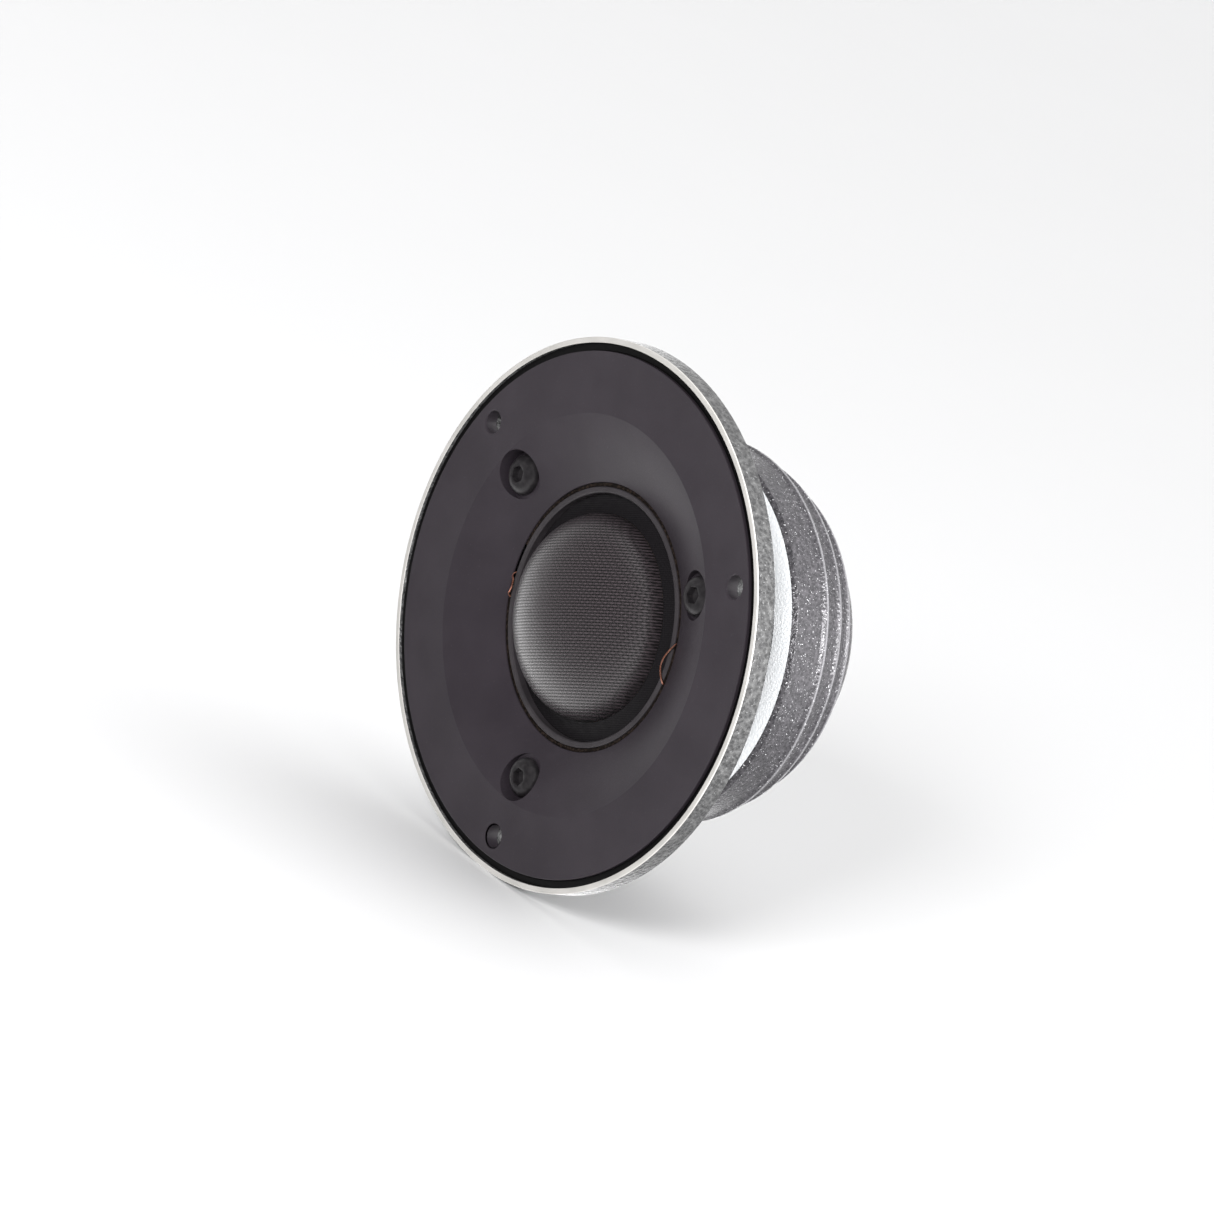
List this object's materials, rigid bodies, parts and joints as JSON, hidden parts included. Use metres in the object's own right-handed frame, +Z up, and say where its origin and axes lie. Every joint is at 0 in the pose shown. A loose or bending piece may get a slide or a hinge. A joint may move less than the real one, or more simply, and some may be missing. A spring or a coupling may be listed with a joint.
{
  "type": "dome tweeter",
  "caption": "Round flange-mounted dome tweeter: a shallow waveguide face with screws round a woven soft dome, and a stepped round chamber behind it on a narrow neck.",
  "frame": {"origin": "on the axis, in the plane of the flange's back face, which lies against the panel", "axes": "+Y along the axis from the face towards the rear chamber, so the face looks along -Y; +Z up; +X to the right seen from the front; screws and mounting holes at 60, 180 and 300 degrees clockwise from +Z seen from the front"},
  "size_m": [0.0766, 0.049, 0.0766],
  "materials": {
    "flange_metal": "cast and textured side, machined bright band on the face",
    "gloss_trim": "gloss black",
    "face_plastic": "fine matte black",
    "black_steel": "black oxide",
    "gasket_foam": "matte",
    "seal_foam": "pale closed-cell foam",
    "frame_plastic": "smooth satin",
    "dome_cloth": "woven cloth under a glossy coating",
    "surround_cloth": "formed cloth, matte",
    "former_film": "thin film",
    "copper": "enamelled copper",
    "motor_steel": "zinc phosphate",
    "magnet_plating": "nickel plated",
    "felt": "felt",
    "sleeve_plastic": "satin black",
    "textured_coat": "black wrinkle powder coat",
    "zinc_steel": "zinc plated",
    "terminal_brass": "stamped brass"
  },
  "bodies": {
    "frame_body": {"flange_ring": "flange_metal", "trim_ring": "gloss_trim", "faceplate": "face_plastic", "face_screw_1": "black_steel", "face_screw_2": "black_steel", "face_screw_3": "black_steel", "throat_gasket": "gasket_foam", "diaphragm_frame": "frame_plastic", "lead_wire_left": "copper", "lead_wire_right": "copper", "top_plate": "motor_steel", "magnet": "magnet_plating", "pole_piece": "motor_steel", "pole_felt": "felt", "back_plate": "motor_steel", "motor_sleeve": "sleeve_plastic", "chamber_gasket": "gasket_foam", "chamber_seal": "seal_foam", "chamber_front": "sleeve_plastic", "chamber_shell": "textured_coat", "chamber_foam": "felt", "rear_screw_1": "zinc_steel", "rear_screw_2": "zinc_steel", "rear_screw_3": "zinc_steel", "terminal_board": "frame_plastic", "terminal_large": "terminal_brass", "terminal_small": "terminal_brass"},
    "diaphragm": {"dome": "dome_cloth", "surround": "surround_cloth", "coil_former": "former_film", "voice_coil": "copper"}
  },
  "joints": [
    {"name": "diaphragm_travel", "type": "slide", "parent": "frame_body", "child": "diaphragm", "axis": [0, 1, 0], "range_m": [-0.0004, 0.0004], "stiffness_N_per_m": 1000, "deforming": ["surround"]}
  ]
}
